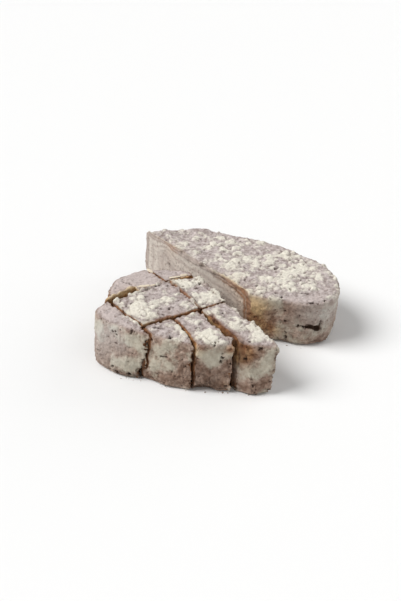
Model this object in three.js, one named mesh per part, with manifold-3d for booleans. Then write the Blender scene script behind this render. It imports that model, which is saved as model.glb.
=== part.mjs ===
// A cocoa-marbled sesame halva, cut in two: one half is a whole block, the other is diced.
// Millimetres, +Z up. Every piece rests on its flat underside at Z = 0.

import * as THREE from 'three';
import { ImprovedNoise } from 'three/addons/math/ImprovedNoise.js';
import { mergeVertices } from 'three/addons/utils/BufferGeometryUtils.js';
import Module from 'manifold-3d';

const wasm = await Module();
wasm.setup();

// Driving dimensions. Plan points are from the middle of the block's cut face,
// with X pointing into the block and Y running along the cut.
const cakeHeight = 45;
const blockRim = 3.5;
const dicedRim = 5;
const footRound = 4;

// The moulded wall of each half in plan, as if it ran on past the cut: x and y at the rim,
// and how far the foot stands out below it.
const blockWall = [
  [82, -72, -4], [79, -45, -4], [73, -14, -3], [60, 13, -2], [42, 43, 0], [20, 60, 3], [-4, 71, 5],
  [-24, 40, 0], [-24, -20, 0], [-8, -58, -2], [10, -88, -3], [27, -113, -4], [48, -119, -5], [70, -104, -5],
];
const dicedWall = [
  [-52, 20, 0], [-70.5, 17.5, 0], [-84.5, 9, 1], [-91, -0.5, 1], [-107.5, -8.5, 3], [-112.5, -19, 6],
  [-107, -42, 8], [-98, -63, 2], [-89, -80, 4], [-78, -98, 2], [-58, -115, 2], [-44, -127, 6],
  [-30, -139, -2], [-6, -122, 0], [2, -80, 0], [0, -30, 0], [-26, 4, 0],
];

// Lumps in the moulded surface: a broad swell with smaller crags on it.
const swell = { size: 24, height: 1.4 };
const crag = { size: 9, height: 1.4 };
const blockSeed = 11.3;
const dicedSeed = 47.9;

// Two flakes of crust that stand proud of the block's top.
const flakes = [
  { at: [12, 55], radius: 8, height: 1.6 },
  { at: [38, 40], radius: 11, height: 2.2 },
];

// Hollows crumbled out of the crust, each turned in plan and dipped towards its far end: a gash
// in the block's wall, thin at one end and gaping at the other, the heel's broken corner, and
// an undercut foot.
const hollows = [
  { piece: 'block', at: [30, -111.5, 19.6], halfSize: [7, 4, 1.5], turn: -27, dip: 9 },
  { piece: 'block', at: [34.4, -113.6, 17.4], halfSize: [3.8, 5, 2.8], turn: -27, dip: 20 },
  { piece: 'chunk_heel', at: [-101, -61.5, 6.5], halfSize: [7, 7, 4.5], turn: -46, dip: 0 },
  { piece: 'chunk_front_middle', at: [-76, -104, 0], halfSize: [12, 8, 8], turn: -51, dip: 0 },
];
const hollowSides = 12;
const hollowRings = 8;

// Knife cuts, each from one plan point to another: the open gap at both ends, the wear of the upper
// edge as a share of the usual, and how far to its right the knife had come at the foot.
// The last is no cut: it is the upright edge worn off the front right chunk.
const cuts = {
  blockCut: { from: [0, 80], to: [0, -80], gap: [0, 0], wear: 1 },
  halfCut: { from: [-17.5, -19], to: [-32, -136], gap: [0, 0], wear: 1.6, lean: 6 },
  longCut: { from: [-39.2, -4], to: [-54.8, -115], gap: [1.2, 4.4], wear: 0.6, lean: 3 },
  innerCut: { from: [-38, -12], to: [-45.2, -62], gap: [0.8, 1.2], wear: 0.3 },
  shortCut: { from: [-70, -58], to: [-78.4, -96], gap: [1.4, 1.8], wear: 0.6, lean: 3 },
  heelCut: { from: [-94.8, -10], to: [-95.3, -62], gap: [1.6, 1.2], wear: 0.6, lean: 6 },
  heelBack: { from: [-110, -9], to: [-95, -8.2], gap: [0, 0], wear: 0.4 },
  frontCross: { from: [-94, -53.8], to: [-23, -66.8], gap: [2.2, 1.6], wear: 0.5 },
  rearCross: { from: [-99, -11], to: [-39, -11.5], gap: [1.6, 0.2], wear: 0.2 },
  cornerCross: { from: [-39, -13], to: [-21, -20], gap: [0.6, 2.6], wear: 0.3 },
  rearCut: { from: [-40.8, 16], to: [-42, -8], gap: [0.4, 1], wear: 0.25 },
  wornEdge: { from: [-55.5, -109], to: [-48.5, -127.7], gap: [0, 0], wear: 0.5, lean: 3 },
};
const cutEdge = { width: 2.5, depth: 8, headroom: 4, steps: 3 };
const reach = 400;

// Each chunk is what lies on one side (left or right, looking along the cut) of its cuts.
const chunks = {
  chunk_heel: { heelCut: 'right', heelBack: 'right' },
  chunk_front_left: { heelCut: 'left', shortCut: 'right', frontCross: 'right' },
  chunk_front_middle: { shortCut: 'left', longCut: 'right', frontCross: 'right' },
  chunk_front_right: { longCut: 'left', halfCut: 'right', frontCross: 'right', wornEdge: 'left' },
  chunk_middle_left: {
    heelCut: 'left', innerCut: 'right', frontCross: 'left', rearCross: 'right', cornerCross: 'right',
  },
  chunk_middle_right: { innerCut: 'left', halfCut: 'right', frontCross: 'left', cornerCross: 'right' },
  chunk_rear_left: { rearCut: 'right', rearCross: 'left' },
  chunk_rear_right: { rearCut: 'left', halfCut: 'right', cornerCross: 'left' },
};

// The corner that has crumbled off the rear left chunk, beside the heel.
const lostCorner = { piece: 'chunk_rear_left', end: [-66.5, -4.5], size: [60, 30], turn: -5 };

// Grid on a half: cells across the top each way, and levels up the wall.
const topCells = 26;
const wallLevels = 10;
const outlineSamples = 360;

const noise = new ImprovedNoise();

function relief(x, y, z, seed) {
  const broad = noise.noise(x / swell.size, y / swell.size, z / swell.size + seed);
  const fine = noise.noise(x / crag.size + seed, y / crag.size, z / crag.size);
  return swell.height * broad + crag.height * fine;
}

function flakeRise(x, y) {
  const rises = flakes.map(({ at, radius, height }) => {
    const share = Math.hypot(x - at[0], y - at[1]) / radius;
    return height * (1 - THREE.MathUtils.smoothstep(share, 0.6, 1));
  });
  return Math.max(...rises);
}

// How far a rounded edge falls back at a given distance before its end.
function edgeFall(distance, round) {
  const t = Math.max(0, 1 - distance / round);
  return round * (1 - Math.sqrt(1 - t * t));
}

// Heights up the wall, closer together where the edges are rounded.
function levelHeight(share) {
  const crowding = 0.09;
  return cakeHeight * (share - crowding * Math.sin(2 * Math.PI * share));
}

// Half a cake: a box of cells carried onto the moulded wall, with the lumps as relief.
function mouldedHalf(wall, rimRound, seed) {
  const rim = new THREE.CatmullRomCurve3(wall.map((point) => new THREE.Vector3(...point)), true);
  const outline = new THREE.Box3().setFromPoints(rim.getSpacedPoints(outlineSamples));
  const middle = outline.getCenter(new THREE.Vector3());
  const centre = new THREE.Vector2(middle.x, middle.y);
  const box = new THREE.BoxGeometry(2, 2, 1, topCells, topCells, wallLevels);
  box.deleteAttribute('normal');
  box.deleteAttribute('uv');
  const half = mergeVertices(box);
  const position = half.getAttribute('position');
  for (let i = 0; i < position.count; i += 1) {
    const u = position.getX(i);
    const v = position.getY(i);
    const height = levelHeight(position.getZ(i) + 0.5);
    const across = u * Math.sqrt(1 - (v * v) / 2);
    const along = v * Math.sqrt(1 - (u * u) / 2);
    const spread = Math.hypot(across, along);
    const turn = (Math.atan2(along, across) / (2 * Math.PI) + 1) % 1;
    const rimPoint = rim.getPointAt(turn);
    const tangent = rim.getTangentAt(turn);
    const edge = new THREE.Vector2(rimPoint.x, rimPoint.y);
    const outward = new THREE.Vector2(tangent.y, -tangent.x).normalize();
    if (outward.dot(edge.clone().sub(centre)) < 0) {
      outward.negate();
    }
    const fall = edgeFall(cakeHeight - height, rimRound) + edgeFall(height, footRound);
    edge.addScaledVector(outward, rimPoint.z * (1 - height / cakeHeight) - fall);
    const place = centre.clone().lerp(edge, spread);
    const lump = relief(place.x, place.y, height, seed);
    const flake = flakeRise(place.x, place.y);
    const upward = Math.max(0, 1 - (cakeHeight - height) / rimRound);
    const onWall = spread > 0.999;
    const sideways = onWall ? Math.sqrt(1 - upward * upward) : 0;
    place.addScaledVector(outward, sideways * lump);
    position.setXYZ(i, place.x, place.y, height + upward * (lump + flake));
  }
  return half;
}

// A closed solid from a geometry, with the vertices that its faces share merged.
function toSolid(geometry) {
  geometry.deleteAttribute('normal');
  geometry.deleteAttribute('uv');
  const merged = mergeVertices(geometry);
  const vertProperties = new Float32Array(merged.getAttribute('position').array);
  const triVerts = new Uint32Array(merged.index.array);
  return new wasm.Manifold(new wasm.Mesh({ numProp: 3, vertProperties, triVerts }));
}

// Everything on one side of a cut, with the upper edge that the knife leaves worn round.
function sideOfCut({ from, to, gap, wear, lean = 0 }, side) {
  const start = new THREE.Vector2(...from);
  const end = new THREE.Vector2(...to);
  const along = end.clone().sub(start).normalize();
  const right = new THREE.Vector2(along.y, -along.x);
  const away = side === 'right' ? right.clone() : right.clone().negate();
  const widening = (gap[1] - gap[0]) / 2 / start.distanceTo(end);
  const first = start.clone().addScaledVector(along, -reach);
  const last = end.clone().addScaledVector(along, reach);
  const outline = new THREE.Shape([
    first.clone().addScaledVector(away, gap[0] / 2 - widening * reach),
    last.clone().addScaledVector(away, gap[1] / 2 + widening * reach),
    last.clone().addScaledVector(away, reach),
    first.clone().addScaledVector(away, reach),
  ]);
  const prism = new THREE.ExtrudeGeometry(outline, {
    depth: cakeHeight,
    bevelThickness: cutEdge.depth,
    bevelSize: cutEdge.width * wear,
    bevelOffset: -cutEdge.width * wear,
    bevelSegments: cutEdge.steps,
  });
  prism.translate(0, 0, cutEdge.headroom - cutEdge.depth);
  const slant = right.clone().multiplyScalar(lean / cakeHeight);
  prism.applyMatrix4(new THREE.Matrix4().makeShear(0, 0, 0, 0, -slant.x, -slant.y));
  prism.translate(right.x * lean, right.y * lean, 0);
  return toSolid(prism);
}

function hollowSolid({ at, halfSize, turn, dip }) {
  const hollow = new THREE.SphereGeometry(1, hollowSides, hollowRings);
  hollow.scale(...halfSize);
  hollow.rotateY(THREE.MathUtils.degToRad(dip));
  hollow.rotateZ(THREE.MathUtils.degToRad(turn));
  hollow.translate(...at);
  return toSolid(hollow);
}

function lostCornerSolid() {
  const { end, size, turn } = lostCorner;
  const corner = new THREE.BoxGeometry(size[0], size[1], 3 * cakeHeight);
  corner.translate(-size[0] / 2, -size[1] / 2, 0);
  corner.rotateZ(THREE.MathUtils.degToRad(turn));
  corner.translate(end[0], end[1], 0);
  return toSolid(corner);
}

// What is left of a piece once its hollows and the lost corner are taken out.
function crumble(name, solid) {
  const scraps = hollows.filter(({ piece }) => piece === name).map(hollowSolid);
  if (lostCorner.piece === name) {
    scraps.push(lostCornerSolid());
  }
  return scraps.reduce((rest, scrap) => rest.subtract(scrap), solid);
}

function toMesh(name, solid) {
  const { vertProperties, triVerts } = solid.getMesh();
  const geometry = new THREE.BufferGeometry();
  geometry.setAttribute('position', new THREE.BufferAttribute(vertProperties, 3));
  geometry.setIndex(new THREE.BufferAttribute(triVerts, 1));
  geometry.computeVertexNormals();
  const finish = new THREE.MeshStandardMaterial({ color: 0xc9bcb0, roughness: 0.9, metalness: 0 });
  const mesh = new THREE.Mesh(geometry, finish);
  mesh.name = name;
  return mesh;
}

const halva = new THREE.Group();

const blockHalf = toSolid(mouldedHalf(blockWall, blockRim, blockSeed));
const block = blockHalf.intersect(sideOfCut(cuts.blockCut, 'left'));
halva.add(toMesh('block', crumble('block', block)));

const dicedHalf = toSolid(mouldedHalf(dicedWall, dicedRim, dicedSeed));
for (const [name, sides] of Object.entries(chunks)) {
  const kept = Object.entries(sides).map(([cut, side]) => sideOfCut(cuts[cut], side));
  const chunk = kept.reduce((solid, keep) => solid.intersect(keep), dicedHalf);
  halva.add(toMesh(name, crumble(name, chunk)));
}

// The origin is the middle of the box round all the pieces, on the underside.
const centre = new THREE.Box3().setFromObject(halva).getCenter(new THREE.Vector3());
halva.position.set(-centre.x, -centre.y, 0);

export default halva;
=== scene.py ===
import math
import random
from types import SimpleNamespace

import bmesh
import bpy
import numpy as np
from mathutils import Euler, Matrix, Vector, noise
from mathutils.bvhtree import BVHTree


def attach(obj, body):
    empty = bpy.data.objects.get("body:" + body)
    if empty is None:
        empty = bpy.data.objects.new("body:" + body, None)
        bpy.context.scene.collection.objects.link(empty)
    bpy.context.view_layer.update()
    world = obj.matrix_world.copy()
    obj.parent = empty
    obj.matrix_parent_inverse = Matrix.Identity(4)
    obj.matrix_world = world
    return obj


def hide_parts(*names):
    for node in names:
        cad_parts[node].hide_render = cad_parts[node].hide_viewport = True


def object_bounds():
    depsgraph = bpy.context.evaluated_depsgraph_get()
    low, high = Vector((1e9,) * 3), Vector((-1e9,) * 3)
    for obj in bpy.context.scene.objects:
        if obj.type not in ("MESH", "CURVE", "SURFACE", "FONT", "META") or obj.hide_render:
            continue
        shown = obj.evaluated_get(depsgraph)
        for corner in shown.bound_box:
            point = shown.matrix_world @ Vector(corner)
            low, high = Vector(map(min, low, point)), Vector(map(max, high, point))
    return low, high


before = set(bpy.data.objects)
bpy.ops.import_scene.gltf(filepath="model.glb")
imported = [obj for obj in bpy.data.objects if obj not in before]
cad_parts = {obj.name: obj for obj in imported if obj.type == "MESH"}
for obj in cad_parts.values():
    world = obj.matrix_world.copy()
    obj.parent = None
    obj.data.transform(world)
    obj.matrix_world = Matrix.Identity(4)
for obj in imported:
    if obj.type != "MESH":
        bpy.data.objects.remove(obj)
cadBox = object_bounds()
mm = 0.001
noise.seed_set(4)  # the same crumb on every run
print("halva: solids loaded,", len(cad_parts), "pieces")

# The photograph's camera, fitted to the cake's edges
photoCamera = dict(
    place=(-0.37731, -0.45726, 0.396), pitchDown=32.0, heading=39.39, lens=50.0, sensor=36.0, clipStart=0.01,
)


def makeCamera(setup):
    data = bpy.data.cameras.new("photoCamera")
    data.lens = setup["lens"]
    data.sensor_width = setup["sensor"]
    data.clip_start = setup["clipStart"]
    camera = bpy.data.objects.new("photoCamera", data)
    camera.location = setup["place"]
    tilt = math.radians(90.0 - setup["pitchDown"])
    camera.rotation_euler = Euler((tilt, 0.0, -math.radians(setup["heading"])))
    bpy.context.scene.collection.objects.link(camera)
    bpy.context.scene.camera = camera


makeCamera(photoCamera)
print("halva: camera set")

# Studio: a pale floor, a soft light high on the left, weak ones in front and on the right,
# and a white surround
studio = dict(
    floorHalf=2.5, floorDrop=0.05 * mm, floorColour=(0.82, 0.82, 0.815), floorRoughness=0.9, surround=0.33,
    lights=dict(
        key=dict(towards=(-0.60, 0.40, 0.80), strength=3.05, softness=36.0),
        fill=dict(towards=(0.45, -0.80, 0.55), strength=0.5, softness=70.0),
        side=dict(towards=(0.95, -0.05, 0.25), strength=0.9, softness=60.0),
    ),
)


def makeFloor(setup):
    bm = bmesh.new()
    bmesh.ops.create_grid(bm, x_segments=1, y_segments=1, size=setup["floorHalf"])
    mesh = bpy.data.meshes.new("studioFloor")
    bm.to_mesh(mesh)
    bm.free()
    floor = bpy.data.objects.new("studioFloor", mesh)
    floor.location.z = -setup["floorDrop"]
    paint = bpy.data.materials.new("floorPaper")
    paint.use_nodes = True
    shader = paint.node_tree.nodes["Principled BSDF"]
    shader.inputs["Base Color"].default_value = (*setup["floorColour"], 1.0)
    shader.inputs["Roughness"].default_value = setup["floorRoughness"]
    mesh.materials.append(paint)
    bpy.context.scene.collection.objects.link(floor)


def makeLights(setup):
    world = bpy.data.worlds.new("studioWorld")
    world.use_nodes = True
    background = world.node_tree.nodes["Background"]
    background.inputs["Color"].default_value = (1.0, 1.0, 1.0, 1.0)
    background.inputs["Strength"].default_value = setup["surround"]
    bpy.context.scene.world = world
    for name, beam in setup["lights"].items():
        light = bpy.data.lights.new(name + "Light", "SUN")
        light.energy = beam["strength"]
        light.angle = math.radians(beam["softness"])
        lamp = bpy.data.objects.new(name + "Light", light)
        lamp.rotation_euler = (-Vector(beam["towards"])).to_track_quat("-Z", "Y").to_euler()
        bpy.context.scene.collection.objects.link(lamp)
    bpy.context.scene.view_settings.view_transform = "Standard"


makeFloor(studio)
makeLights(studio)
print("halva: studio set")


# Shader helpers
def put(tree, kind, sockets=None, **settings):
    item = tree.nodes.new("ShaderNode" + kind)
    for name, value in settings.items():
        setattr(item, name, value)
    for name, value in (sockets or {}).items():
        if isinstance(value, bpy.types.NodeSocket):
            tree.links.new(value, item.inputs[name])
        else:
            item.inputs[name].default_value = value
    return item


def mixColour(tree, share, first, second, blend="MIX"):
    return put(tree, "Mix", {0: share, 6: first, 7: second}, data_type="RGBA", blend_type=blend).outputs[2]


def sums(tree, operation, first, second):
    return put(tree, "Math", {0: first, 1: second}, operation=operation).outputs[0]


def plus(tree, first, second):
    return sums(tree, "ADD", first, second)


def times(tree, first, second):
    return sums(tree, "MULTIPLY", first, second)


# A noise runs from 0 to 1: this turns it into a push either way
def centred(tree, value, gain):
    return times(tree, sums(tree, "SUBTRACT", value, 0.5), gain)


def ramp(tree, value, low, high, toLow=0.0, toHigh=1.0):
    sockets = {"Value": value, "From Min": low, "From Max": high, "To Min": toLow, "To Max": toHigh}
    return put(tree, "MapRange", sockets, interpolation_type="SMOOTHSTEP").outputs["Result"]


def between(tree, share, ends):
    return ramp(tree, share, 0.0, 1.0, *ends)


def grainNoise(tree, vector, size, detail=3.0, rough=0.55):
    sockets = {"Vector": vector, "Scale": 1.0 / size, "Detail": detail, "Roughness": rough}
    return put(tree, "TexNoise", sockets).outputs["Fac"]


def named(tree, name):
    return put(tree, "Attribute", attribute_name=name).outputs["Fac"]


# Floury grain that the crust and the crumbs share: a tone, dark flecks and a bump height
flouryGrain = dict(
    fine=0.8 * mm, fineShare=0.4, coarse=2.4 * mm, coarseShare=0.6,
    fleck=2.3 * mm, fleckPick=(0.68, 0.76), fleckRim=(0.42, 0.20), fleckDepth=0.4,
)


def makeGrainGroup(setup):
    group = bpy.data.node_groups.new("flouryGrain", "ShaderNodeTree")
    group.interface.new_socket("Vector", in_out="INPUT", socket_type="NodeSocketVector")
    for name in ("Tone", "Fleck", "Height"):
        group.interface.new_socket(name, in_out="OUTPUT", socket_type="NodeSocketFloat")
    source = group.nodes.new("NodeGroupInput").outputs["Vector"]
    drain = group.nodes.new("NodeGroupOutput")
    fine = times(group, grainNoise(group, source, setup["fine"]), setup["fineShare"])
    coarse = times(group, grainNoise(group, source, setup["coarse"]), setup["coarseShare"])
    tone = plus(group, fine, coarse)
    cells = put(group, "TexVoronoi", {"Vector": source, "Scale": 1.0 / setup["fleck"]})
    draw = put(group, "SeparateColor", {"Color": cells.outputs["Color"]}).outputs[0]
    blot = ramp(group, cells.outputs["Distance"], *setup["fleckRim"])
    fleck = times(group, blot, ramp(group, draw, *setup["fleckPick"]))
    height = sums(group, "SUBTRACT", tone, times(group, fleck, setup["fleckDepth"]))
    group.links.new(tone, drain.inputs["Tone"])
    group.links.new(fleck, drain.inputs["Fleck"])
    group.links.new(height, drain.inputs["Height"])
    return group


grainGroup = makeGrainGroup(flouryGrain)

# Finish of the halva: cream sesame marbled with cocoa, brown where the crumb is laid open, with painted
# shade on the walls, in gaps and in creases
halvaFinish = dict(
    colours=dict(
        creamTop=(0.75, 0.712, 0.612), creamTopDull=(0.63, 0.59, 0.515),
        # The wall colours are darker copies of the top colours: painted shade on the walls, over the crust's
        # own browner cocoa mottling
        shadedCreamWall=(0.475, 0.435, 0.352), shadedCreamWallDull=(0.40, 0.353, 0.28), paleWall=(0.52, 0.50, 0.455),
        cocoaTopPale=(0.545, 0.478, 0.457), cocoaTopDeep=(0.30, 0.245, 0.228),
        cocoaTopEven=(0.52, 0.445, 0.42), cocoaWallPale=(0.43, 0.33, 0.27),
        cocoaWallMid=(0.285, 0.195, 0.148), cocoaWallDeep=(0.165, 0.10, 0.07), mauveWall=(0.43, 0.37, 0.335),
        cutCream=(0.585, 0.525, 0.463), cutMauve=(0.365, 0.297, 0.262), cutBrown=(0.268, 0.128, 0.062),
        caramelPale=(0.41, 0.23, 0.112), caramelDeep=(0.235, 0.106, 0.045), tan=(0.65, 0.448, 0.232),
        # Gap shade and toffee colours: painted warm shade inside gaps, toffee where caramel crumb lies
        nookPale=(0.27, 0.12, 0.05), nookDeep=(0.095, 0.037, 0.015),
        toffeePale=(0.62, 0.34, 0.135), toffeeDeep=(0.36, 0.165, 0.06),
        edgePale=(0.25, 0.105, 0.043), edgeDeep=(0.125, 0.044, 0.016), pitDark=(0.05, 0.027, 0.017),
    ),
    # noises: size, detail and roughness, then the stretch of them that is used
    cloud=(4.0 * mm, 4.0, 0.6), cloudRange=(0.34, 0.66),
    crumbly=(4.4 * mm, 4.0, 0.54), crumblyRange=(0.36, 0.64),
    blotch=(9.0 * mm, 3.0, 0.6), blotchRange=(0.40, 0.60),
    fray=(4.6 * mm, 4.0, 0.6), frayGain=2.6, warp=(22.0 * mm, 2.0, 0.55), warpGain=8.0,
    # pairs for wall and top
    speckle=(0.4, 0.65), contrast=(0.6, 1.0),
    # along the cream field: where cocoa turns to cream, where its blotches come up, and where it is even
    creamRange=(-0.48, 0.44), blotchFade=(-1.6, -0.4, 0.25, 1.0), evenRange=(-1.0, -1.5), evenShare=0.8,
    caramelShare=0.92, toffeeShare=0.85, edgeShare=0.95,
    # cut face: depth below the crust in millimetres and strength of the line there
    rindReach=20.0,
    rindLines=(
        (0.0, 0.8), (1.2, 0.95), (2.1, 0.9), (2.6, 0.35), (3.1, 0.8), (3.9, 1.0), (4.6, 0.5), (5.4, 0.0),
        (8.0, 0.0), (9.4, 0.6), (10.6, 0.65), (12.0, 0.1), (14.5, 0.05), (16.0, 0.55), (18.0, 0.45),
    ),
    bands=((0.16, 0.75), (0.55, 0.25)), bandDetail=1.0, bandRange=(0.62, 0.36, 0.0, 0.75),
    bandDepth=(16.0, 19.0),
    toastDepth=(8.0, 5.0, 0.15, 1.0), pasteShare=0.3,
    # pairs for cocoa and cream
    shadeLow=(0.78, 0.88), shadeHigh=(1.18, 1.09), speckShare=(0.46, 0.2), bumpShare=(1.0, 0.55),
    dipShare=0.8, toneRange=(0.25, 0.75), roughness=(0.2, 0.8, 0.95, 0.78), specular=0.25,
    bump=0.7, bumpDepth=0.6 * mm,
)


# Moulded crust, its marbling frayed by finer noise: the colour and the share of cream; the darker wall
# colours are painted shade on the walls
def crustColour(tree, finish, colour, field):
    frayed = centred(tree, grainNoise(tree, field["place"], *finish["fray"]), finish["frayGain"])
    speckle = centred(tree, field["tone"], between(tree, field["top"], finish["speckle"]))
    broken = plus(tree, field["cream"], plus(tree, frayed, speckle))
    broken = times(tree, broken, between(tree, field["top"], finish["contrast"]))
    creamShare = ramp(tree, broken, *finish["creamRange"])
    blotch = ramp(tree, grainNoise(tree, field["place"], *finish["blotch"]), *finish["blotchRange"])
    blotch = times(tree, blotch, ramp(tree, field["cream"], *finish["blotchFade"]))
    even = times(tree, ramp(tree, field["cream"], *finish["evenRange"]), finish["evenShare"])
    cocoaTop = mixColour(tree, field["cloud"], colour["cocoaTopDeep"], colour["cocoaTopPale"])
    cocoaTop = mixColour(tree, even, cocoaTop, colour["cocoaTopEven"])
    cocoaDark = mixColour(tree, field["crumbly"], colour["cocoaWallDeep"], colour["cocoaWallMid"])
    cocoaLight = mixColour(tree, field["crumbly"], colour["cocoaWallMid"], colour["cocoaWallPale"])
    cocoaWall = mixColour(tree, blotch, cocoaDark, cocoaLight)
    cocoaWall = mixColour(tree, field["mauve"], cocoaWall, colour["mauveWall"])
    sesameTop = mixColour(tree, field["cloud"], colour["creamTopDull"], colour["creamTop"])
    sesameWall = mixColour(tree, field["cloud"], colour["shadedCreamWallDull"], colour["shadedCreamWall"])
    sesameWall = mixColour(tree, field["mauve"], sesameWall, colour["paleWall"])
    cocoa = mixColour(tree, field["top"], cocoaWall, cocoaTop)
    sesame = mixColour(tree, field["top"], sesameWall, sesameTop)
    return mixColour(tree, creamShare, cocoa, sesame), creamShare


# Crumb laid open: caramel or, over sesame, tan; deeper painted warm shade inside the gaps, toffee where
# caramel lies; and brown along worn edges
def openCrumbColour(tree, finish, colour, field, crust, creamShare):
    caramel = mixColour(tree, field["crumbly"], colour["caramelDeep"], colour["caramelPale"])
    caramel = mixColour(tree, creamShare, caramel, colour["tan"])
    body = mixColour(tree, times(tree, field["caramel"], finish["caramelShare"]), crust, caramel)
    toffee = mixColour(tree, field["crumbly"], colour["toffeeDeep"], colour["toffeePale"])
    toffee = mixColour(tree, creamShare, toffee, colour["tan"])
    shut = mixColour(tree, field["crumbly"], colour["nookDeep"], colour["nookPale"])
    shut = mixColour(tree, times(tree, field["caramel"], finish["toffeeShare"]), shut, toffee)
    body = mixColour(tree, field["nook"], body, shut)
    edge = mixColour(tree, field["crumbly"], colour["edgeDeep"], colour["edgePale"])
    return mixColour(tree, times(tree, field["worn"], finish["edgeShare"]), body, edge)


# Long knife-cut faces: rind lines that follow the crust, then softer bands
def cutColour(tree, finish, colour, field, body):
    reach = finish["rindReach"]
    warp = centred(tree, grainNoise(tree, field["place"], *finish["warp"]), finish["warpGain"])
    depth = plus(tree, field["layer"], warp)
    rind = put(tree, "ValToRGB", {"Fac": sums(tree, "DIVIDE", depth, reach)})
    rind.color_ramp.interpolation = "B_SPLINE"
    stops = rind.color_ramp.elements
    for below, _ in finish["rindLines"][len(stops):]:
        stops.new(below / reach)
    for stop, (below, strength) in zip(stops, finish["rindLines"]):
        stop.position = below / reach
        stop.color = (strength, strength, strength, 1.0)
    layers = []
    for scale, share in finish["bands"]:
        sockets = {"W": depth, "Scale": scale, "Detail": finish["bandDetail"]}
        along = put(tree, "TexNoise", sockets, noise_dimensions="1D").outputs["Fac"]
        layers.append(times(tree, along, share))
    band = ramp(tree, plus(tree, *layers), *finish["bandRange"])
    band = times(tree, band, ramp(tree, depth, *finish["bandDepth"]))
    line = sums(tree, "MAXIMUM", rind.outputs["Color"], band)
    toasted = times(tree, field["caramel"], ramp(tree, depth, *finish["toastDepth"]))
    lineColour = mixColour(tree, toasted, colour["cutMauve"], colour["cutBrown"])
    browned = times(tree, field["caramel"], finish["pasteShare"])
    paste = mixColour(tree, browned, colour["cutCream"], colour["caramelPale"])
    return mixColour(tree, field["cut"], body, mixColour(tree, line, paste, lineColour))


# Painted shade in dips and creases, then flecks and pits over all of it
def markedColour(tree, finish, colour, field, body, creamShare):
    sunk = mixColour(tree, 1.0, body, colour["cocoaTopDeep"], "MULTIPLY")
    body = mixColour(tree, times(tree, field["dip"], finish["dipShare"]), body, sunk)
    low, high = (between(tree, creamShare, finish[name]) for name in ("shadeLow", "shadeHigh"))
    shade = ramp(tree, field["tone"], *finish["toneRange"], low, high)
    grey = put(tree, "CombineColor", {0: shade, 1: shade, 2: shade}).outputs[0]
    body = mixColour(tree, 1.0, body, grey, "MULTIPLY")
    speck = times(tree, field["fleck"], between(tree, creamShare, finish["speckShare"]))
    body = mixColour(tree, speck, body, colour["cocoaWallDeep"])
    return mixColour(tree, field["pit"], body, colour["pitDark"])


def makeHalva(finish):
    material = bpy.data.materials.new("marbledHalva")
    material.use_nodes = True
    tree = material.node_tree
    shader = tree.nodes["Principled BSDF"]
    colour = {name: (*value, 1.0) for name, value in finish["colours"].items()}
    marks = ("top", "cream", "pit", "dip", "cut", "layer", "caramel", "nook", "mauve", "worn")
    field = {name: named(tree, name) for name in marks}
    place = put(tree, "TexCoord").outputs["Object"]
    grain = put(tree, "Group", {"Vector": place}, node_tree=grainGroup)
    field.update(place=place, tone=grain.outputs["Tone"], fleck=grain.outputs["Fleck"])
    for name in ("cloud", "crumbly"):
        field[name] = ramp(tree, grainNoise(tree, place, *finish[name]), *finish[name + "Range"])
    crust, creamShare = crustColour(tree, finish, colour, field)
    body = openCrumbColour(tree, finish, colour, field, crust, creamShare)
    body = cutColour(tree, finish, colour, field, body)
    body = markedColour(tree, finish, colour, field, body, creamShare)
    tree.links.new(body, shader.inputs["Base Color"])
    tree.links.new(ramp(tree, field["tone"], *finish["roughness"]), shader.inputs["Roughness"])
    shader.inputs["Specular IOR Level"].default_value = finish["specular"]
    height = times(tree, grain.outputs["Height"], between(tree, creamShare, finish["bumpShare"]))
    bump = put(tree, "Bump", {"Strength": finish["bump"], "Distance": finish["bumpDepth"], "Height": height})
    tree.links.new(bump.outputs["Normal"], shader.inputs["Normal"])
    return material


halvaMaterial = makeHalva(halvaFinish)
print("halva: finish made")


# Fields over a piece's points, in millimetres
def smoothStep(low, high, x):
    t = np.clip((x - low) / (high - low), 0.0, 1.0)
    return t * t * (3.0 - 2.0 * t)


# Shapes of one curd, pit, spot and slit, and how far a piece's seed moves each noise
markShape = dict(
    cellStep=31.7, domeReach=0.5, pitLeast=0.6, pitMore=0.8, spotFall=1.2,
    slitOuter=1.7, slitInner=0.3, slitLeast=0.5, slitGain=0.35, slitShortest=1e-6,
    noiseShift=(1.0, 2.3, -1.7), curdShift=(-1.0, 1.0, 1.3), pitShift=(1.0, -1.0, 0.7),
    octaveFall=1.0, octaveStep=2.0,
)

# Size, step from the piece's own seed, octaves and how far it is drawn out upwards
crumbNoise = dict(
    wallPatch=(14.0, 5.1, 4, 1.0), streak=(2.4, 9.0, 2, 6.0), ragged=(4.2, 4.0, 4, 1.0),
    grain=(1.9, 2.0, 2, 1.0), broad=(12.0, 3.0, 2, 1.0), crumbly=(3.2, 7.0, 3, 1.0),
    foot=(5.5, 6.0, 3, 1.0), wave=(7.0, 11.0, 2, 1.0),
)


def seedShift(seed, name):
    return Vector([seed * step for step in markShape[name]])


def fractalField(points, pieceSeed, name):
    size, step, octaves, stretch = crumbNoise[name]
    fall, finer = markShape["octaveFall"], markShape["octaveStep"]
    squeeze = Vector((1.0 / size, 1.0 / size, 1.0 / (size * stretch)))
    shift = seedShift(pieceSeed + step, "noiseShift")
    return np.array([noise.fractal(p * squeeze + shift, fall, finer, octaves) for p in points])


# A draw from 0 to 1 that a whole cell shares
def cellDraw(centre):
    return noise.cell(centre * markShape["cellStep"]) % 1.0


# Curds: a dome on every cell, and the cell's draw
def curdField(points, size, seed):
    shift = seedShift(seed, "curdShift")
    dome, draw = np.zeros(len(points)), np.zeros(len(points))
    for i, p in enumerate(points):
        near, centres = noise.voronoi(p / size + shift)
        dome[i] = near[1] - near[0]
        draw[i] = cellDraw(centres[0])
    return smoothStep(0.0, markShape["domeReach"], dome), draw


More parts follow.
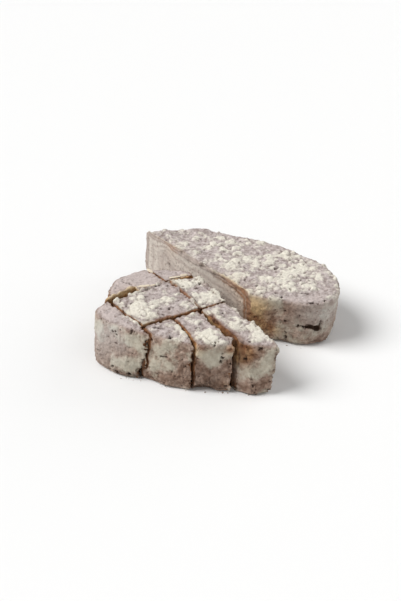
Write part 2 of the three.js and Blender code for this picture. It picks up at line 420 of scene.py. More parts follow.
def pitField(points, spacing, share, radius, seed):
    shift = seedShift(seed, "pitShift")
    found = np.zeros(len(points))
    for i, p in enumerate(points):
        near, centres = noise.voronoi(p / spacing + shift)
        chance = cellDraw(centres[0])
        if chance < share:
            size = radius * (markShape["pitLeast"] + markShape["pitMore"] * chance / share)
            found[i] = max(0.0, 1.0 - near[0] * spacing / size)
    return found


def spotField(coords, spots):
    total = np.zeros(len(coords))
    for x, y, z, radius, *weight in spots:
        away = ((coords - (x, y, z)) ** 2).sum(1) / radius ** 2
        total += (weight[0] if weight else 1.0) * np.exp(-markShape["spotFall"] * away)
    return total


# Round pits have one place and a radius, slits have two ends and a radius
def slitField(coords, slits):
    deepest = np.zeros(len(coords))
    for *place, radius in slits:
        start, run = np.array(place[:3]), np.array(place[-3:]) - np.array(place[:3])
        share = np.clip((coords - start) @ run / max(run @ run, markShape["slitShortest"]), 0.0, 1.0)
        away = np.linalg.norm(coords - start - share[:, None] * run, axis=1)
        strength = min(1.0, markShape["slitLeast"] + markShape["slitGain"] * radius)
        found = smoothStep(markShape["slitOuter"] * radius, markShape["slitInner"] * radius, away)
        deepest = np.maximum(deepest, found * strength)
    return deepest


# Every solid together, to find how shut in a point is
def treeOfAll():
    together = bmesh.new()
    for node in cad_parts.values():
        together.from_mesh(node.data)
    tree = BVHTree.FromBMesh(together)
    together.free()
    return tree


allSolids = treeOfAll()


def denseCopy(piece, solid):
    mesh = bpy.data.meshes.new(piece["name"])
    solid.to_mesh(mesh)
    body = bpy.data.objects.new(piece["name"], mesh)
    bpy.context.scene.collection.objects.link(body)
    remesh = body.modifiers.new("crumb", "REMESH")
    remesh.mode = "VOXEL"
    remesh.voxel_size = piece["voxel"] * mm
    dense = bpy.data.meshes.new_from_object(body.evaluated_get(bpy.context.evaluated_depsgraph_get()))
    body.modifiers.clear()
    body.data = dense
    dense.name = piece["name"]
    bpy.data.meshes.remove(mesh)
    return body


# A piece's skin: its points in millimetres, their normals, and each point's neighbours
def readSkin(piece, mesh):
    count = len(mesh.vertices)
    flat = np.zeros(count * 3)
    mesh.vertices.foreach_get("co", flat)
    coords = flat.reshape(-1, 3) / mm
    turned = np.zeros(count * 3)
    mesh.vertex_normals.foreach_get("vector", turned)
    ends = np.zeros(len(mesh.edges) * 2, int)
    mesh.edges.foreach_get("vertices", ends)
    shares = np.maximum(np.bincount(ends, minlength=count), 1).astype(float)
    return SimpleNamespace(
        seed=piece["seed"], coords=coords, height=coords[:, 2], points=[Vector(c) for c in coords],
        normals=turned.reshape(-1, 3), ends=ends.reshape(-1, 2), shares=shares,
    )


def spread(skin, values, rounds):
    first, second = skin.ends[:, 0], skin.ends[:, 1]
    for _ in range(rounds):
        total = np.stack([
            np.bincount(first, channel[second], len(values))
            + np.bincount(second, channel[first], len(values))
            for channel in values.T
        ], 1)
        values = 0.5 * values + 0.5 * total / skin.shares[:, None]
    return values


def spreadOne(skin, values, rounds):
    return spread(skin, values[:, None], rounds)[:, 0]


def spotsOf(piece, skin, name):
    return spotField(skin.coords, piece.get(name, []))


# Where top, wall, knife cut and underside begin and end, and how far their borders are blended
zoneShape = dict(
    weld=0.002, knifeArea=150.0, planeStep=0.5, uprightLimit=0.3, topTilt=0.5, topFloor=24.0,
    underTilt=-0.7, underCeiling=3.0, blendRounds=4, knifeRounds=12, knifeRange=(0.04, 0.3), turnRounds=40,
    edgeRounds=24, edgeReach=0.6, rimRounds=40, rimShare=0.22, rimHeight=(6.0, 30.0),
    upperHeight=(32.0, 43.0),
)


# Upright planes that are too large to be facets of the moulded wall
def knifeFaces(solid):
    planes = {}
    for face in solid.faces:
        n = face.normal
        if abs(n.z) < zoneShape["uprightLimit"]:
            depth = round(n.dot(face.calc_center_median()) / mm / zoneShape["planeStep"])
            planes.setdefault((round(n.x, 2), round(n.y, 2), depth), []).append(face)
    area = zoneShape["knifeArea"] * mm * mm
    return {f.index for faces in planes.values() if sum(f.calc_area() for f in faces) > area for f in faces}


def findZones(piece, skin, solid):
    shape = zoneShape
    knife = knifeFaces(solid)
    tree = BVHTree.FromBMesh(solid)
    nearest = [tree.find_nearest(p * mm)[2] for p in skin.points]
    tilt = np.array([solid.faces[i].normal.z for i in nearest])
    marks = np.stack([
        np.array([i in knife for i in nearest], float),
        ((tilt > shape["topTilt"]) & (skin.height > shape["topFloor"])).astype(float),
        ((tilt < shape["underTilt"]) & (skin.height < shape["underCeiling"])).astype(float),
    ], 1)
    skin.cut, skin.top, skin.under = spread(skin, marks, shape["blendRounds"]).T
    skin.wall = np.clip(1.0 - skin.cut - skin.top - skin.under, 0.0, 1.0)
    skin.knifeEdge = smoothStep(*shape["knifeRange"], spreadOne(skin, marks[:, 0], shape["knifeRounds"]))
    turning = spreadOne(skin, marks[:, 1], shape["turnRounds"])
    skin.softTop = skin.top * skin.knifeEdge + turning * (1.0 - skin.knifeEdge)
    skin.upper = smoothStep(*shape["upperHeight"], skin.height)

    # the moulded crust alone, to find depths below it
    inner = [f for f in solid.faces if f.index in knife or f.normal.z < shape["underTilt"]]
    bmesh.ops.delete(solid, geom=inner, context="FACES")
    skin.crustTree = BVHTree.FromBMesh(solid)

    # edges, and how far the moulded rim is rounded off
    smooth = spread(skin, skin.coords, shape["edgeRounds"])
    out = ((skin.coords - smooth) * skin.normals).sum(1)
    skin.convex = np.clip(out / shape["edgeReach"], 0.0, 1.0)
    skin.rounded = spread(skin, smooth, shape["rimRounds"]) - skin.coords
    rim = shape["rimShare"] * (1.0 - skin.knifeEdge) * smoothStep(*shape["rimHeight"], skin.height)
    skin.rounded *= rim[:, None]
    skin.ragEdge = 1.0 - np.clip(spotsOf(piece, skin, "calmSpots"), 0.0, 1.0)


# Marbling: curds gathered into patches on top, broad soft patches on the walls
marbling = dict(
    swirl=2.6, swirlSize=9.0, curl=0.9, curlSize=3.1, curd=7.0, patch=15.0, patchStep=3.3,
    patchGain=0.5, curdGain=0.8, domeGain=0.45, domeLevel=0.6, topSpot=0.85, wallGain=0.95, wallSpot=1.0,
    rimCreamAndHighlight=0.5, wornCocoa=1.5, blendRounds=2, raisedRange=(-0.25, 0.35), caramelOffTop=0.85,
)


def marble(piece, skin):
    shape = marbling
    skin.swirl = [
        p + shape["swirl"] * noise.noise_vector(p / shape["swirlSize"])
        + shape["curl"] * noise.noise_vector(p / shape["curlSize"])
        for p in skin.points
    ]
    skin.dome, curdDraw = curdField(skin.swirl, shape["curd"], skin.seed)
    patchDraw = curdField(skin.swirl, shape["patch"], skin.seed + shape["patchStep"])[1]
    spots = spotsOf(piece, skin, "creamSpots") - spotsOf(piece, skin, "cocoaSpots")
    onTop = piece["topCream"] + shape["patchGain"] * (patchDraw - 0.5) + shape["curdGain"] * (curdDraw - 0.5)
    onTop = onTop + shape["domeGain"] * (skin.dome - shape["domeLevel"]) + shape["topSpot"] * spots
    onWall = piece["wallCream"] + shape["wallGain"] * fractalField(skin.swirl, skin.seed, "wallPatch")
    onWall = onWall + shape["wallSpot"] * spots
    skin.streak = fractalField(skin.points, skin.seed, "streak")
    onWall += piece.get("streaks", 0.0) * skin.streak
    skin.wornEdge = slitField(skin.coords, piece.get("wornEdges", []))
    cream = onWall * (1.0 - skin.softTop) + onTop * skin.softTop
    # More cream along the convex upper rims by knife cuts: crumbled cream with a painted highlight
    cream = cream + shape["rimCreamAndHighlight"] * skin.convex * skin.upper * skin.knifeEdge
    cream = cream - shape["wornCocoa"] * skin.wornEdge
    skin.cream = spreadOne(skin, cream, shape["blendRounds"])
    skin.raised = smoothStep(*shape["raisedRange"], skin.cream)
    offTop = 1.0 - shape["caramelOffTop"] * skin.top
    skin.caramel = np.clip(spotsOf(piece, skin, "caramelSpots"), 0.0, 1.0) * offTop
    # Mauve spots: paler mauve walls, the halva's own mauve brightened as painted light on the heel's left
    # wall and the block's near wall
    skin.mauve = np.clip(spotsOf(piece, skin, "mauveSpots"), 0.0, 1.0)


# Relief in millimetres: lumps and grain, pits and slits, then crumbled edges and feet
reliefShape = dict(
    pitSpacing=5.6, pitShare=0.2, pitRadius=1.15, pitOnWall=0.6, pitOnCut=0.12, pitRange=(0.0, 0.7), pit=2.0,
    slitFray=1.2, slitFraySize=1.5, slit=2.6, worn=0.8,
    lump=1.3, lumpLevel=0.45, fineCurd=0.36, fineStep=8.0, fineShare=0.35, popcorn=0.85, popcornLevel=0.8,
    popcornOnCocoa=0.25, popcornOnCream=0.75, wallOut=0.4, wallBroad=0.6, wallRaised=0.5, wallRough=0.55,
    mauveCalm=0.6, wallStreak=0.6, grain=0.42, grainOnCocoa=1.2, grainFade=0.7, cutBroad=0.25, cutGrain=0.12,
    caramelRough=0.6,
    chip=4.2, chipRange=(-0.12, 0.36), chipLift=0.25, chipUpper=0.65, chipKnife=0.6,
    foot=2.4, footHeight=(6.0, 0.0), footRange=(-0.05, 0.45),
    smear=0.35, smearHeight=(34.0, 44.0), smearRag=2.2, closedHeight=(34.0, 43.0), closedRag=0.8, wave=4.2,
    underRange=(0.4, 0.9), dipRounds=10, dipRange=(0.05, 0.7), dipOnCut=0.7,
)


def findPits(piece, skin):
    shape = reliefShape
    pits = pitField(skin.swirl, shape["pitSpacing"], shape["pitShare"], shape["pitRadius"], skin.seed)
    skin.pits = pits * (skin.top + shape["pitOnWall"] * skin.wall + shape["pitOnCut"] * skin.cut)
    fray, size = shape["slitFray"], shape["slitFraySize"]
    frayed = np.array([p + fray * noise.noise_vector(p / size) for p in skin.points])
    skin.slits = slitField(frayed, piece.get("slits", []))


def lumpRelief(piece, skin, ragged):
    shape = reliefShape
    top, wall, cut, raised = skin.top, skin.wall, skin.cut, skin.raised
    fine = curdField(skin.swirl, shape["fineCurd"] * marbling["curd"], skin.seed + shape["fineStep"])[0]
    names = ("grain", "broad", "crumbly")
    grain, broad, crumbly = (fractalField(skin.points, skin.seed, name) for name in names)
    popcorn = skin.dome + shape["fineShare"] * fine
    popcorn = shape["popcorn"] * (popcorn - shape["popcornLevel"])
    popcorn = popcorn * (shape["popcornOnCocoa"] + shape["popcornOnCream"] * raised)
    relief = top * (shape["lump"] * (raised - shape["lumpLevel"]) + popcorn)
    rough = shape["wallRough"] * piece.get("rough", 1.0) * (1.0 - raised)
    rough = rough * (1.0 - shape["mauveCalm"] * skin.mauve) * crumbly
    swell = shape["wallOut"] + shape["wallBroad"] * broad + shape["wallRaised"] * (raised - 0.5)
    relief += wall * (swell + rough)
    relief += wall * shape["wallStreak"] * piece.get("streaks", 0.0) * skin.streak
    relief += (top + wall) * shape["grain"] * grain * (shape["grainOnCocoa"] - shape["grainFade"] * raised)
    loose = (1.0 - top) * skin.caramel * shape["caramelRough"] * crumbly
    relief += cut * (shape["cutBroad"] * broad + shape["cutGrain"] * grain) + loose
    sunk = shape["pit"] * smoothStep(*shape["pitRange"], skin.pits) + shape["slit"] * skin.slits
    relief -= sunk + shape["worn"] * skin.wornEdge * (1.0 + ragged)
    return relief


def shapeRelief(piece, skin):
    shape = reliefShape
    ragged = fractalField(skin.points, skin.seed, "ragged")
    relief = lumpRelief(piece, skin, ragged)
    chips = smoothStep(*shape["chipRange"], ragged - shape["chipLift"] * skin.upper)
    chips = skin.convex * chips * skin.ragEdge
    foot = smoothStep(*shape["footRange"], fractalField(skin.points, skin.seed, "foot"))
    foot = smoothStep(*shape["footHeight"], skin.height) * foot
    smear = skin.cut * smoothStep(*shape["smearHeight"], skin.height) * shape["smear"]
    relief += smear * (1.0 + shape["smearRag"] * ragged)
    closing = piece.get("closed", 0.0) * skin.knifeEdge * smoothStep(*shape["closedHeight"], skin.height)
    relief += closing * (1.0 + shape["closedRag"] * ragged)
    wave = shape["wave"] * fractalField(skin.points, skin.seed, "wave")
    relief += wave * skin.convex * skin.upper * skin.knifeEdge * skin.ragEdge
    lost = shape["chip"] * piece.get("chips", 1.0) * chips * (1.0 - shape["chipUpper"] * skin.upper)
    lost = lost * (1.0 - shape["chipKnife"] * skin.upper * skin.knifeEdge)
    relief -= lost + shape["foot"] * foot * (skin.wall + skin.cut)
    skin.relief = relief * (1.0 - smoothStep(*shape["underRange"], skin.under))
    # Crease shade: painted shade where the relief lies below its neighbourhood, less on knife cuts and none
    # underneath
    level = spreadOne(skin, skin.relief, shape["dipRounds"])
    skin.dip = smoothStep(*shape["dipRange"], level - skin.relief) * (1.0 - skin.under)
    skin.dip = skin.dip * (1.0 - shape["dipOnCut"] * skin.cut)


# Painted shade in gaps and hollows: how far to look for a neighbour, in millimetres
nookShape = dict(
    reach=16.0, lift=0.6, rayTilt=0.85, rayStep=72, topLimit=0.5, blendRounds=6,
    nookRange=(0.10, 0.42), litMost=0.9, hollowRange=(0.12, 0.26), hollowMost=0.95,
)


# How shut in a point is, from 0 in the open to 1: rays along the normal and round it
def shutIn(point, normal):
    reach = nookShape["reach"] * mm
    side = normal.orthogonal().normalized()
    turns = range(0, 360, nookShape["rayStep"])
    ring = [Matrix.Rotation(math.radians(turn), 3, normal) @ side for turn in turns]
    total = 0.0
    for ray in [normal] + [(normal + nookShape["rayTilt"] * around).normalized() for around in ring]:
        hit = allSolids.ray_cast((point + nookShape["lift"] * normal) * mm, ray, reach)
        if hit[0] is not None:
            total += 1.0 - hit[3] / reach
    return total / (1 + len(ring))


# Painted shade in gaps, from how shut in each point is, taken off at the lit spots
def findGapShade(piece, skin):
    shape = nookShape
    shut = np.array([
        shutIn(p, Vector(n)) if t < shape["topLimit"] else 0.0
        for p, n, t in zip(skin.points, skin.normals, skin.top)
    ])
    shut = spreadOne(skin, shut, shape["blendRounds"])
    # The gash gets painted shade, deepest where it is most shut in
    gash = np.clip(spotsOf(piece, skin, "gash"), 0.0, shape["hollowMost"])
    skin.hollow = gash * smoothStep(*shape["hollowRange"], shut) * skin.wall
    skin.nook = smoothStep(*shape["nookRange"], shut) * (1.0 - skin.top)
    skin.nook *= 1.0 - np.clip(spotsOf(piece, skin, "litSpots"), 0.0, shape["litMost"])


# Layers on the long cut faces: how deep below the crust a point lies, drawn wider apart at the near end
layerShape = dict(
    facing=(0.75, 0.95), least=0.02, farScale=0.9, nearLess=0.35, nearY=(-10.0, -36.0), swirlDepth=10.0,
)


def findLayers(piece, skin):
    shape = layerShape
    skin.layered = skin.cut * smoothStep(*shape["facing"], skin.normals[:, 0] * piece.get("longCut", 0.0))
    skin.layer = np.zeros(len(skin.coords))
    for i in np.nonzero(skin.layered > shape["least"])[0]:
        skin.layer[i] = skin.crustTree.find_nearest(skin.points[i] * mm)[3] / mm
    skin.layer *= shape["farScale"] - shape["nearLess"] * smoothStep(*shape["nearY"], skin.coords[:, 1])
    skin.layer += shape["swirlDepth"] * spotsOf(piece, skin, "swirlSpots")


# How dark pits and slits are: dark specks, with painted shade in pits and cracks
pitShade = dict(pitRange=(0.10, 0.7), pit=0.75, slit=0.85)


def writeSkin(piece, skin, mesh):
    moved = skin.coords + skin.rounded + skin.normals * skin.relief[:, None]
    moved = np.clip(moved, np.array(cadBox[0]) / mm, np.array(cadBox[1]) / mm)
    mesh.vertices.foreach_set("co", (moved * mm).ravel())
    # The pit mark: dark specks with painted shade in pits and slits, plus painted shade in the gash and at
    # the shade spots
    dark = pitShade["pit"] * smoothStep(*pitShade["pitRange"], skin.pits) + pitShade["slit"] * skin.slits
    dark = np.clip(dark + skin.hollow + spotsOf(piece, skin, "shadeSpots"), 0.0, 1.0)
    fields = dict(
        top=skin.softTop, cut=skin.layered, cream=skin.cream, pit=dark, dip=skin.dip, layer=skin.layer,
        caramel=skin.caramel, nook=skin.nook, mauve=skin.mauve, worn=skin.wornEdge,
    )
    for name, values in fields.items():
        mesh.attributes.new(name, "FLOAT", "POINT").data.foreach_set("value", values.astype(np.float32))


def dressPiece(piece):
    solid = bmesh.new()
    solid.from_mesh(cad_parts[piece["node"]].data)
    bmesh.ops.remove_doubles(solid, verts=solid.verts, dist=zoneShape["weld"] * mm)
    solid.normal_update()
    solid.faces.ensure_lookup_table()
    body = denseCopy(piece, solid)
    mesh = body.data
    skin = readSkin(piece, mesh)
    findZones(piece, skin, solid)
    solid.free()
    marble(piece, skin)
    findPits(piece, skin)
    shapeRelief(piece, skin)
    findGapShade(piece, skin)
    findLayers(piece, skin)
    writeSkin(piece, skin, mesh)
    mesh.shade_smooth()
    mesh.materials.clear()
    mesh.materials.append(halvaMaterial)
    mesh.update()
    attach(body, "root")
    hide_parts(piece["node"])
    print("halva:", piece["name"], len(skin.points), "points")
    return body


# Marks in millimetres: spots are x, y, z, radius and, if it isn't 1, a weight;
# slits and worn edges are x, y, z and radius, or both ends and the radius
# Shade spots are painted shade under the feet, in gaps and notches, and on faces half hidden behind a
# neighbour; on the front right chunk they also deepen the worn strip's brown
wholeBlock = dict(
    node="block", name="halvaBlock", voxel=0.72, seed=3.1, topCream=-0.3, wallCream=-0.3,
    longCut=-1.0, chips=0.5, rough=0.5,
    creamSpots=[
        (50, 27, 45, 9), (35, 4, 45, 8), (24, -12, 45, 9), (35, -15, 45, 6), (53, -10, 45, 8),
        (69, -10, 45, 8), (55, 6, 45, 6), (66, -34, 45, 9), (82, -39, 45, 10), (43, -30, 45, 7),
        (51, -41, 45, 8), (49, -54, 45, 8), (35, -42, 45, 6), (84, -9, 45, 6), (63, -65, 45, 7),
        (78, -57, 45, 6), (64, 35, 45, 6), (84, 19, 45, 5), (32, 22, 45, 6), (60, 52, 45, 5),
        # The two wall spots that end this line make the near wall's tan patch: tan cream with painted warm
        # bounce light
        (26, 60, 45, 6), (42, 43, 45, 6), (26, 40, 45, 4), (22, -47, 36, 9, 1.3), (29, -57, 39, 8, 1.2),
        (49, -80, 11, 6, 0.5), (60, -85, 14, 6, 0.5), (58, -86, 37, 6, 0.5),
    ],
    cocoaSpots=[
        (53, -77, 45, 10), (40, -66, 45, 8), (20, -41, 21, 6), (26, -51, 28, 5), (28, -52, 18, 7),
        (36, -68, 40, 7), (39, -74, 32, 9, 0.7), (34, -65, 26, 7, 0.7), (24, -51, 42.5, 3, 0.8),
        (72, 33, 45, 9, 0.6), (46, 52, 45, 7, 0.5), (84, 5, 45, 6, 0.5),
    ],
    mauveSpots=[(66, -86, 31, 19, 0.75), (48, -78, 34, 14, 0.6)],
    # The spots on the near wall beside the front right chunk and on the cut face near the front end are
    # caramel crumb with painted warm shade
    caramelSpots=[
        (24, -46, 15, 10, 0.8), (21, -42, 22, 7, 0.6), (30, -54, 12, 8, 0.6), (22, -48, 33, 10, 0.7),
        (18, 66, 41, 10, 0.6), (18, -30, 38, 15), (18, -10, 42, 14, 0.6), (18, -33, 22, 12, 0.7),
        (77, -79, 44, 3, 0.6),
    ],
    swirlSpots=[(18, 73, 31, 10)],
    calmSpots=[(18, 90, 34, 22, 1.6), (18, 90, 10, 20, 1.6)],
    shadeSpots=[(25, 87, 46, 4, 0.3)],
    # gash: where the gash hollow gets painted shade
    gash=[(53, -80, 17, 6, 1.4), (47, -77, 20, 5, 1.2)],
    slits=[
        (34, -64, 23, 1.1), (40, -73, 20, 1.2), (36, -64, 12, 0.9), (36, -64, 8, 36, -64, 5, 0.9),
        (40, -74, 20.5, 47, -78, 19.5, 0.7), (55, -84, 20, 55, -84, 24, 1.0), (31, -34, 45, 1.5),
        (29, -21, 45, 1.0), (61, -23, 45, 65, -26, 45, 1.0), (43, -6, 45, 0.9), (68, -57, 45, 1.0),
        (51, -65, 45, 55, -69, 45, 0.9), (46, -80, 44, 50, -84, 44, 0.9), (57, -85, 44, 0.9),
        (18, 69, 23, 1.2), (27, 39, 45, 1.0),
    ],
)
heelEnd = dict(
    node="chunk_heel", name="heelEnd", voxel=0.6, seed=7.7, topCream=-1.4, wallCream=-0.5, streaks=0.4,
    creamSpots=[
        (-87, -20, 34, 9), (-82, -28, 34, 8), (-81, -30, 22, 8), (-95, -11, 12, 7), (-91, -18, 13, 9),
        (-86, -26, 12, 8), (-91, -5, 41, 4), (-80, 0, 45, 5, 1.6), (-79, -9, 45, 5, 1.7),
        (-79, -18, 44, 5, 1.7), (-95, 13, 32, 8, 0.9), (-94, 7, 38, 5, 0.6), (-97, 8, 22, 6, 0.6),
    ],
    cocoaSpots=[
        (-93, -10, 25, 6, 1.3), (-90, -15, 25, 5, 1.4), (-87, -23, 25, 5), (-86, -18, 43, 5),
        (-97, 1, 18, 10, 0.7), (-94, 0, 33, 7, 0.5),
    ],
    mauveSpots=[(-98, 8, 22, 20, 0.75), (-94, -4, 36, 12, 0.65), (-90, -14, 26, 7, 0.4)],
    shadeSpots=[(-96, -12, 1, 4, 0.6), (-91, -20, 1, 4, 0.6), (-86, -26, 1, 4, 0.7), (-82, -29, 8, 5, 0.5)],
    slits=[
        (-86, -20, 44, -86, -20, 40, 0.9), (-91, -7, 37, 0.9), (-92, -4, 36.5, 0.8), (-91, -8, 35, 0.8),
        (-97, -8, 7, 0.9), (-96, -12, 2, 1.6), (-91, -21, 4, 1.6), (-82, -30, 19, -83, -29, 10, 1.3),
        (-80, -31, 36, -80, -31, 29, 0.9), (-84, -28, 5, 2.0),
    ],
)
frontLeft = dict(
    node="chunk_front_left", name="frontLeftChunk", voxel=0.6, seed=12.9, topCream=-0.52, wallCream=-0.4,
    creamSpots=[
        (-60, -49, 45, 8), (-57, -44, 45, 6), (-72, -48, 36, 7), (-76, -40, 32, 5), (-78, -38, 20, 4),
        (-79, -38, 15, 5), (-73, -50, 19, 9, 1.2), (-64, -61, 32, 5, 0.7), (-79, -39, 6, 4, 0.7),
    ],
    cocoaSpots=[
        (-76, -39, 39, 6, 0.8), (-66, -58, 37, 6, 0.8), (-73, -48, 27.5, 3.5), (-66, -59, 24, 5),
        (-75, -48, 8, 9, 1.5), (-69, -58, 13, 8, 1.5),
    ],
    slits=[
        (-71, -30, 45, -66, -34, 45, 1.1), (-69, -46, 44, -70, -47, 43.5, 1.3), (-66, -60, 22, 0.9),
        (-76, -43, 26.5, -73, -47, 27, 0.6), (-78, -34, 38, 1.0),
    ],
)
frontMiddle = dict(
    node="chunk_front_middle", name="frontMiddleChunk", voxel=0.6, seed=19.4, topCream=-0.15, wallCream=-0.9,
    creamSpots=[
        (-47, -62, 45, 9), (-50, -76, 42, 8), (-57, -70, 36, 7), (-51, -75, 32, 9), (-52, -74, 25, 7),
        (-42, -82, 34, 5), (-42, -45, 45, 6),
    ],
    cocoaSpots=[
        (-43, -70, 46, 5), (-56, -70, 43, 4), (-59, -68, 18, 8, 1.7), (-59, -69, 9, 9, 1.8),
        (-49, -77, 13, 8, 1.5), (-43, -82, 25, 4), (-40, -55, 45, 6), (-49, -49, 45, 3),
    ],
    caramelSpots=[
        (-41, -83, 39, 4, 0.7), (-44, -81, 8, 4, 0.4), (-58, -50, 40, 8, 0.7), (-60, -62, 40, 8, 0.7),
    ],
    wornEdges=[(-52, -32, 45, -57, -54, 45, 1.1)],
    shadeSpots=[(-59, -68, 12, 10, 0.28), (-50, -76, 8, 9, 0.2)],
    slits=[
        (-42, -72, 46, 0.8), (-46, -79, 32, 1.0), (-47, -78, 28, 1.1),
        (-43, -82, 27, -40, -84, 26, 0.7), (-45, -82, 6, 1.2), (-52, -72, 44.5, -46, -76, 44.5, 0.5),
        (-47, -51, 45, -44, -54, 45, 0.7),
    ],
)
frontRight = dict(
    node="chunk_front_right", name="frontRightChunk", voxel=0.6, seed=24.2, topCream=-0.15, wallCream=-0.25,
    longCut=1.0,
    creamSpots=[
        (-20, -90, 46, 9, 1.3), (-27, -69, 46, 6), (-23, -46, 45, 8, 1.4), (-22, -64, 46, 5),
        (-14, -80, 46, 6, 0.8), (-20, -103, 35, 6), (-22, -102, 27, 6, 0.9), (-28, -98, 19, 6, 0.8),
        (-33, -94, 14, 5, 0.3), (-33, -94, 23, 4, 0.3), (-25, -102, 2, 4),
    ],
    cocoaSpots=[
        (-25, -81, 46, 5), (-28, -92, 42, 4), (-25, -96, 42, 4), (-20, -101, 43, 4),
        (-33, -92, 30, 6, 1.3), (-34, -86, 41, 7, 1.6), (-34, -74, 42, 7, 1.4), (-32, -62, 42, 6, 1.2),
        (-28, -96, 35, 5), (-28, -98, 25, 4, 0.6), (-28, -100, 9, 7), (-23, -104, 12, 5),
        (-34, -93, 7, 5), (-19, -50, 45, 6),
    ],
    caramelSpots=[
        (-34, -84, 43, 6), (-34, -88, 40, 6), (-32, -92, 36, 6, 0.95), (-35, -87, 32, 7, 0.9),
        (-36, -83, 36, 8), (-33, -62, 40, 9, 0.8), (-30, -46, 40, 9, 0.6),
    ],
    wornEdges=[(-28, -45, 44.5, -32, -70, 44, 1.8), (-32, -70, 44, -32, -88, 41, 3.2)],
    shadeSpots=[
        (-36, -84, 36, 9, 0.4), (-34, -90, 29, 8, 0.3), (-35, -74, 40, 9, 0.45), (-33, -58, 40, 9, 0.3),
    ],
    litSpots=[(-36, -88, 17, 10, 1.1)],
    slits=[
        (-25, -98, 40, 1.5), (-31, -98, 9, 1.2), (-33, -91, 31, 1.1), (-34, -90, 31, 0.9),
        (-28, -89, 44, 0.9), (-19, -48, 45, 1.0), (-21, -52, 45, 1.0),
    ],
)
middleLeft = dict(
    node="chunk_middle_left", name="middleLeftChunk", voxel=0.6, seed=31.6, topCream=-0.25, wallCream=-0.3,
    closed=0.3,
    creamSpots=[
        (-73, 14, 45, 6), (-54, 12, 45, 8), (-66, -3, 45, 8), (-64, 4, 45, 7), (-66, -14, 45, 9, 1.3),
        (-41, -5, 45, 7), (-50, -4, 45, 5), (-31, -18, 45, 5),
    ],
    cocoaSpots=[
        (-67, 12, 45, 5, 0.7), (-42, 9, 45, 7), (-26, 6, 45, 7), (-52, -18, 45, 7), (-44, -22, 45, 7),
        (-28, -10, 45, 6, 0.6), (-69, -24, 41, 6, 1.4), (-57, -26, 41, 6, 1.6), (-46, -28, 41, 5, 1.4),
    ],
    caramelSpots=[(-68, -23, 41, 8, 0.8), (-57, -25, 41, 8, 0.8), (-45, -27, 41, 6, 0.4)],
    wornEdges=[(-63, -22, 45, -53, -24, 45, 1.8)],
    shadeSpots=[(-68, -23, 40, 8, 0.3), (-57, -25, 40, 8, 0.35)],
    slits=[
        (-65, 8, 45, 1.1), (-71, 8, 45, 0.8), (-51, 4, 45, 1.0), (-59, 0, 45, 0.8),
        (-47, -16, 45, -44, -17, 45, 1.0), (-55, -19, 45, 1.0), (-33, -11, 45, 0.8), (-34, 19, 45, 0.9),
        (-31, 17, 45, 1.0), (-38, 16, 45, 0.8), (-26, 13, 45, 0.8),
    ],
)
middleRight = dict(
    node="chunk_middle_right", name="middleRightChunk", voxel=0.6, seed=38.3, topCream=0.12, wallCream=-0.3,
    longCut=1.0, closed=0.5,
    creamSpots=[(-14, 4, 45, 8), (-5, 2, 45, 5), (-12, -22, 45, 7), (-18, -14, 45, 5), (-20, 10, 45, 6)],
    cocoaSpots=[(-13, -8, 45, 7, 1.1), (-4, -10, 45, 6), (-6, 10, 45, 4, 0.6)],
    wornEdges=[(-26, -31, 44.4, -20, 17, 44.4, 0.5)],
    slits=[(-5, -2, 45, 1.0), (-11, -6, 45, 0.9), (-18, -25, 45, 0.8)],
)
rearLeft = dict(
    node="chunk_rear_left", name="rearLeftChunk", voxel=0.6, seed=45.0, topCream=-1.6, wallCream=-0.4,
    closed=0.4, chips=2.2, rough=1.5,
    creamSpots=[
        (-42, 22, 45, 4), (-71, 29, 43, 4, 2.0), (-63, 29, 44, 4, 2.0), (-55, 28, 44, 4, 2.0),
        (-48, 26, 43, 4, 2.0),
    ],
    cocoaSpots=[(-74, 30, 34, 9), (-62, 28, 34, 9), (-52, 27, 34, 9)],
    caramelSpots=[(-73, 29, 42, 7), (-67, 28, 42, 8), (-59, 28, 42, 8), (-51, 27, 42, 7)],
    shadeSpots=[(-72, 29, 37, 5, 0.35), (-63, 28, 37, 4, 0.3), (-54, 27, 37, 4, 0.3)],
    slits=[(-53, 44, 45, -48, 33, 45, 0.6)],
)
rearRight = dict(
    node="chunk_rear_right", name="rearRightChunk", voxel=0.6, seed=52.5, topCream=-1.35, wallCream=-0.4,
    longCut=1.0, closed=0.4,
    creamSpots=[(-15, 18, 45, 5), (-22, 36, 45, 5, 0.6)],
    caramelSpots=[(-6, 13, 42, 8), (-14, 16, 42, 7, 0.8)],
)
pieces = (
    wholeBlock, heelEnd, frontLeft, frontMiddle, frontRight, middleLeft, middleRight, rearLeft, rearRight,
)
dressed = [dressPiece(piece) for piece in pieces]

# Loose crumbs at the feet, with how many lie on each line, and flakes smeared over the rear cuts,
# with how wide each is: plan lines in millimetres
looseCrumbs = dict(
    name="looseCrumbs", seed=11, size=(0.5, 1.4), stray=1.6, breadth=(0.6, 0.9), thickness=(0.35, 0.7),
    cream=0.7, turn=6.3, tilt=0.3, lift=0.2, lookFrom=60.0,
    flakeThickness=0.9, flakeCream=0.5, flakeCaramel=0.35, flakeFloor=44.0,
    roundTo=0.62, roundShare=0.75, lumpy=0.28, lumpScale=2.3, lumpStep=9.0,
    feet=[
        ((-97, -12), (-87, -30), 5), ((-78, -42), (-67, -60), 5), ((-58, -70), (-44, -83), 6),
        ((-33, -92), (-22, -102), 4), ((-12, -96), (-5, -68), 5), ((20, -46), (42, -76), 6),
    ],
    flakes=[
        ((-46, 26), (-38, 21.5), 2.6), ((-39, 21.5), (-33, 20), 2.2), ((-18, 21), (-9, 17), 2.8),
        ((-9, 17.5), (-4, 15), 2.4), ((-22.7, 46), (-23.2, 37), 2.4),
    ],
)


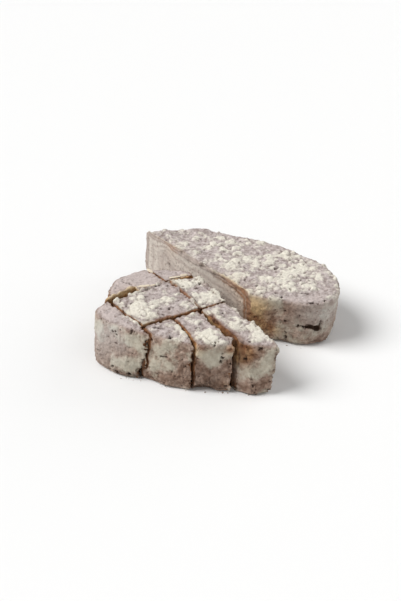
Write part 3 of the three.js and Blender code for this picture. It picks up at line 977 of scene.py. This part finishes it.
def highest(x, y):
    start = Vector((x, y, looseCrumbs["lookFrom"])) * mm
    hits = [body.ray_cast(start, Vector((0.0, 0.0, -1.0))) for body in dressed]
    return max([hit[1].z / mm for hit in hits if hit[0]], default=0.0)


# Each crumb or flake has a place, its sizes, a heading, its cream and whether it lies on top
def drawCrumbs(setup, draw):
    chips = []
    smallest, largest = setup["size"]
    for start, end, count in setup["feet"]:
        for _ in range(count):
            x, y = Vector(start).lerp(Vector(end), draw.random())
            x += draw.uniform(-1.0, 1.0) * setup["stray"]
            y += draw.uniform(-1.0, 1.0) * setup["stray"]
            width = smallest + (largest - smallest) * draw.random() ** 2
            breadth = width * draw.uniform(*setup["breadth"])
            sizes = (width, breadth, width * draw.uniform(*setup["thickness"]))
            heading = draw.uniform(0.0, setup["turn"])
            chips.append(((x, y, 0.0), sizes, heading, draw.uniform(-setup["cream"], setup["cream"]), 0.0))
    for start, end, width in setup["flakes"]:
        x, y = Vector(start).lerp(Vector(end), 0.5)
        run = Vector(end) - Vector(start)
        place = (x, y, max(highest(x, y), setup["flakeFloor"]))
        sizes = (run.length, width, setup["flakeThickness"])
        chips.append((place, sizes, math.atan2(run.y, run.x), setup["flakeCream"], 1.0))
    return chips


def makeCrumbs(setup):
    draw = random.Random(setup["seed"])
    bm = bmesh.new()
    creams, tops = [], []
    for place, sizes, heading, cream, onTop in drawCrumbs(setup, draw):
        shape = Matrix.Diagonal((*sizes, 1.0 / mm)) * mm
        tilt = Matrix.Rotation(draw.uniform(-setup["tilt"], setup["tilt"]), 4, "X")
        turn = Matrix.Rotation(heading, 4, "Z") @ tilt
        made = bmesh.ops.create_cube(bm, size=1.0)["verts"]
        edges = list({edge for vert in made for edge in vert.link_edges})
        bmesh.ops.subdivide_edges(bm, edges=edges, cuts=1, use_grid_fill=True)
        verts = bm.verts[:][len(creams):]
        seat = (Vector(place) + Vector((0.0, 0.0, setup["lift"] * sizes[2]))) * mm
        for vert in verts:
            rounded = vert.co.lerp(setup["roundTo"] * vert.co.normalized(), setup["roundShare"])
            lump = noise.noise(setup["lumpScale"] * rounded + setup["lumpStep"] * seat / mm)
            rounded *= 1.0 + setup["lumpy"] * lump
            vert.co = turn @ (shape @ rounded) + seat
        creams += [cream] * len(verts)
        tops += [onTop] * len(verts)
    mesh = bpy.data.meshes.new(setup["name"])
    bm.to_mesh(mesh)
    bm.free()
    flat = np.zeros(len(mesh.vertices) * 3)
    mesh.vertices.foreach_get("co", flat)
    inside = np.clip(flat.reshape(-1, 3), np.array(cadBox[0]), np.array(cadBox[1]))
    mesh.vertices.foreach_set("co", inside.ravel())
    fields = dict(cream=creams, top=tops, caramel=[setup["flakeCaramel"] * share for share in tops])
    for name, values in fields.items():
        mesh.attributes.new(name, "FLOAT", "POINT").data.foreach_set("value", np.array(values, np.float32))
    mesh.shade_smooth()
    mesh.materials.append(halvaMaterial)
    mesh.update()
    crumbs = bpy.data.objects.new(setup["name"], mesh)
    bpy.context.scene.collection.objects.link(crumbs)
    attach(crumbs, "root")
    print("halva: crumbs", len(mesh.polygons), "faces")


makeCrumbs(looseCrumbs)
